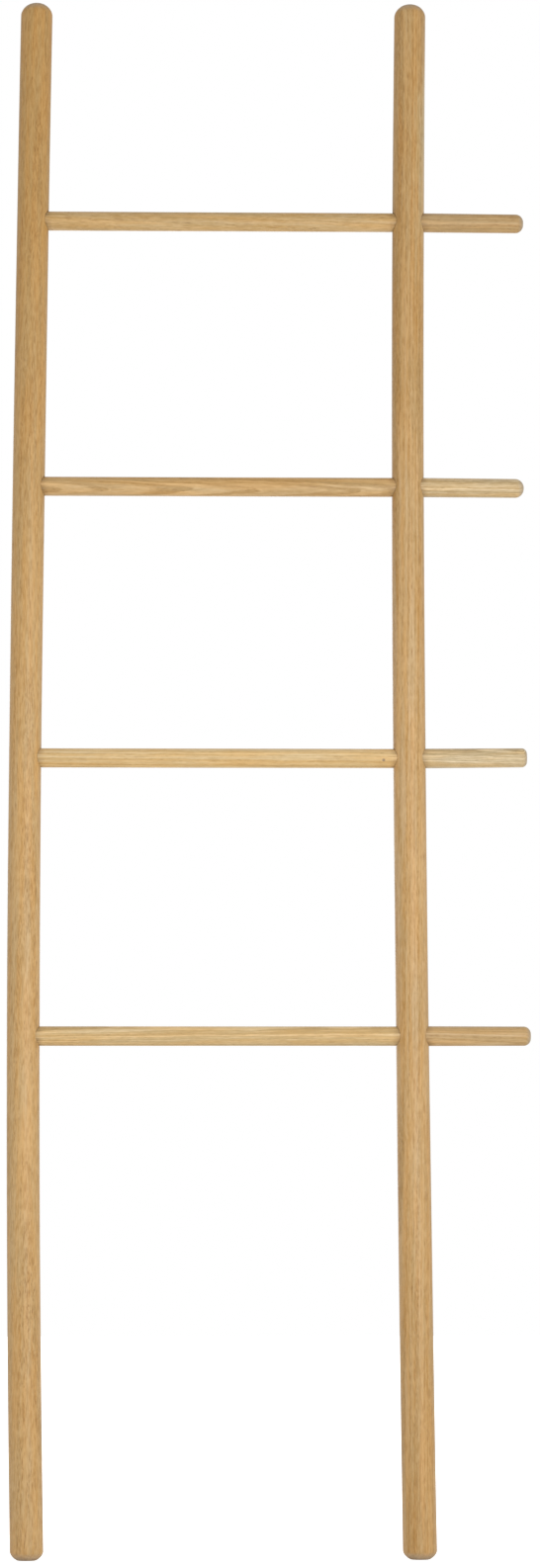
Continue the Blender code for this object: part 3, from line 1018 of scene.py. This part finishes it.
# %% The rods' oak
TONES = {  # pale and brown
    "rung_1": ((0.608, 0.410, 0.190), (0.444, 0.270, 0.088)),
    "rung_2": ((0.694, 0.469, 0.225), (0.455, 0.275, 0.099)),
    "rung_3": ((0.778, 0.577, 0.308), (0.582, 0.381, 0.155)),
    "rung_4": ((0.773, 0.562, 0.295), (0.526, 0.352, 0.147)),
    "peg_1": ((0.538, 0.364, 0.170), (0.405, 0.248, 0.097)),
    "peg_2": ((0.722, 0.562, 0.342), (0.472, 0.330, 0.154)),
    "peg_3": ((0.822, 0.640, 0.384), (0.461, 0.332, 0.164)),
    "peg_4": ((0.606, 0.419, 0.214), (0.450, 0.280, 0.109)),
}
BOARDS = {  # the pith behind and above in mm, slope and sweep, ring width in mm, what shows
    "rung_1": ((6, 45), (2.0, 1.0), 2.6, (0.6, 0.6, 0.7, 0.6)),
    "rung_2": ((26, 20), (1.8, -1.5), 2.8, (1.1, 0.5, 1, 0.3)),
    "rung_3": ((4, -53), (0.2, 0.4), 2.2, (1.1, 0.3, 1.2, 0.3)),
    "rung_4": ((20, -30), (-1.2, 0.8), 2.4, (1.6, 0.3, 1.2, 0.4)),
    "peg_1": ((8, 40), (0.8, 1.5), 2.4, (0.8, 0.4, 1, 0.45)),
    "peg_2": ((10, -45), (0.6, 0.5), 2.3, (1.2, 0.4, 1, 0.45)),
    "peg_3": ((34, -36), (-1.5, 2.6), 1.6, (1.9, 0.3, 1, 0.3)),
    "peg_4": ((20, 35), (1.0, -1.0), 2.6, (1.3, 0.5, 1, 0.3)),
}
SHOWN = ("ring_show", "ray_show", "streak_show", "fleck_show")
EXTRAS = {
    "rung_2": {"wander": 9 * MM},
    "rung_3": {"knot": ((0.13, -0.0104, 0.8935), 2.4 * MM)},
    "rung_4": {"wander": 9 * MM, "ripple": 2.5 * MM},
}
RUNG_MIDDLE, PEG_MIDDLE = -0.05, 0.23  # the x in metres that their piths pass through
for number, (rung, peg) in enumerate(zip(rungs, pegs), start=1):
    for rod, kind, middle_x in ((rung, "rung", RUNG_MIDDLE), (peg, "peg", PEG_MIDDLE)):
        node = f"{kind}_{number}"
        (back, up), (slope, sweep), ring_width, shows = BOARDS[node]
        pith = (middle_x, back * MM, rung_heights[number - 1] + up * MM)
        looks = {**dict(zip(SHOWN, shows)), **EXTRAS.get(node, {})}
        make_oak(rod, pith, (0, 90 + slope, sweep), ring_width * MM, *TONES[node], **looks)

# %% [markdown]
# ## The screws inside
#
# Each rung and peg is drawn into its rail by a double-ended wood screw, which is hidden when the
# rack is together. The solids of these screws already have their true thread, so they are kept and
# only need a finish: bright zinc on steel. Zinc plating is a metal with a fine cloudy bloom, which
# a noise gives to its colour and its roughness, and the die leaves faint marks round the thread.

# %% Zinc plating
BRIGHT_ZINC, DULL_ZINC = (0.68, 0.69, 0.70, 1), (0.58, 0.57, 0.52, 1)
BLOOM, BLOOM_EDGE = (900, 3, 0.6), (0.35, 0.65)
DIE_MARKS, ROUND_THE_SCREW = (6000, 1), (1, 0.1, 0.1)
DIE_MARK_STRENGTH, DIE_MARK_DEPTH = 0.3, 0.02 * MM
POLISH, DULLER = 0.24, 0.16  # the brightest roughness, and how much the bloom adds


def make_zinc():
    """A bright metal, clouded by a noise, with marks drawn out across the screw's axis, X."""
    zinc, tree, shader = new_material("bright_zinc")
    place = add_node(tree, "ShaderNodeTexCoord").outputs["Object"]
    cloudy = fade(tree, noise(tree, place, *BLOOM).outputs["Fac"], *BLOOM_EDGE)
    drawn_out = vector_maths(tree, "MULTIPLY", place, ROUND_THE_SCREW)
    marks = noise(tree, drawn_out, *DIE_MARKS).outputs["Fac"]
    colour = mixed(tree, cloudy, BRIGHT_ZINC, DULL_ZINC)
    rough = maths(tree, "MULTIPLY_ADD", cloudy, DULLER, POLISH)
    give_finish(tree, shader, colour, rough, marks, DIE_MARK_STRENGTH, DIE_MARK_DEPTH)
    shader.inputs["Metallic"].default_value = 1.0
    return zinc


bright_zinc = make_zinc()
screws = [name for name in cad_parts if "dowel_screw" in name]
for name in screws:
    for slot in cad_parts[name].material_slots:
        slot.material = bright_zinc
print("screws with zinc:", len(screws))

# %% [markdown]
# ## The floor
#
# The rack stands in a bare white studio. The floor could be a curved sweep of paper, but one very
# large square looks the same from every side. It glows a little. The Light Path node tells the
# camera's rays from the others, so the floor can look white without lighting the rack from below.

# %% Lay the floor
FLOOR_HALF = 400  # metres
FLOOR_PAINT, WHITE, MATT = (0.9, 0.9, 0.9, 1), (1, 1, 1, 1), 0.9
GLOW, GLOW_FOR_CAMERA = 0.15, 0.7  # for every ray, and on top of it for the camera's

bpy.context.scene.view_settings.view_transform = "Standard"
corners = [(-1, -1, 0), (1, -1, 0), (1, 1, 0), (-1, 1, 0)]
floor_mesh = bpy.data.meshes.new("floor")
floor_mesh.from_pydata((np.array(corners) * FLOOR_HALF).tolist(), [], [(0, 1, 2, 3)])
floor = bpy.data.objects.new("floor", floor_mesh)
bpy.context.scene.collection.objects.link(floor)
floor_material, floor_tree, floor_shader = new_material("floor")
floor_look = {"Base Color": FLOOR_PAINT, "Emission Color": WHITE, "Roughness": MATT}
for label, value in {**floor_look, "Specular IOR Level": 0.0}.items():
    floor_shader.inputs[label].default_value = value
seen = add_node(floor_tree, "ShaderNodeLightPath").outputs["Is Camera Ray"]
glow = maths(floor_tree, "MULTIPLY_ADD", seen, GLOW_FOR_CAMERA, GLOW)
floor_tree.links.new(glow, floor_shader.inputs["Emission Strength"])
floor.data.materials.append(floor_material)
print("floor:", 2 * FLOOR_HALF, "metres a side")

# %% [markdown]
# ## The light
#
# Soft light comes from all round, as from white walls, which also look brighter than they light.
# Two large softboxes give the poles their roundness: the key in front on the right, and a weaker
# one behind on the left that lifts the edges. Point lights would cast hard shadows at every joint.

# %% White surroundings
WALL_LIGHT, WALL_WHITE = 0.68, 1.0  # for every ray, and for the camera's

world = bpy.data.worlds.new("studio")
bpy.context.scene.world = world
world.use_nodes = True
walls = world.node_tree
path = add_node(walls, "ShaderNodeLightPath").outputs["Is Camera Ray"]
levels = {"Value": path, "To Min": WALL_LIGHT, "To Max": WALL_WHITE}
strength = add_node(walls, "ShaderNodeMapRange", levels).outputs["Result"]
background = walls.nodes["Background"]
background.inputs["Color"].default_value = WHITE
walls.links.new(strength, background.inputs["Strength"])
print("the walls light with", WALL_LIGHT)

# %% Softboxes
SOFTBOXES = {  # place and target in metres, width and height in metres, power in watts
    "key": ((0.7, -1.85, 0.85), (-0.05, 0, 0.85), 1.4, 1.2, 17.5),
    "back": ((-0.6, 3.0, 1.3), (-0.05, 0, 0.9), 2.0, 1.6, 16),
}
for name, (place, target, width, height, power) in SOFTBOXES.items():
    light = bpy.data.lights.new(name, "AREA")
    light.shape = "RECTANGLE"
    light.size = width
    light.size_y = height
    light.energy = power
    softbox = bpy.data.objects.new(name, light)
    bpy.context.scene.collection.objects.link(softbox)
    softbox.location = place
    away = Vector(place) - Vector(target)
    softbox.rotation_euler = away.to_track_quat("Z", "Y").to_euler()
    print(f"{name}: {power} W from {away.length:.2f} m away")
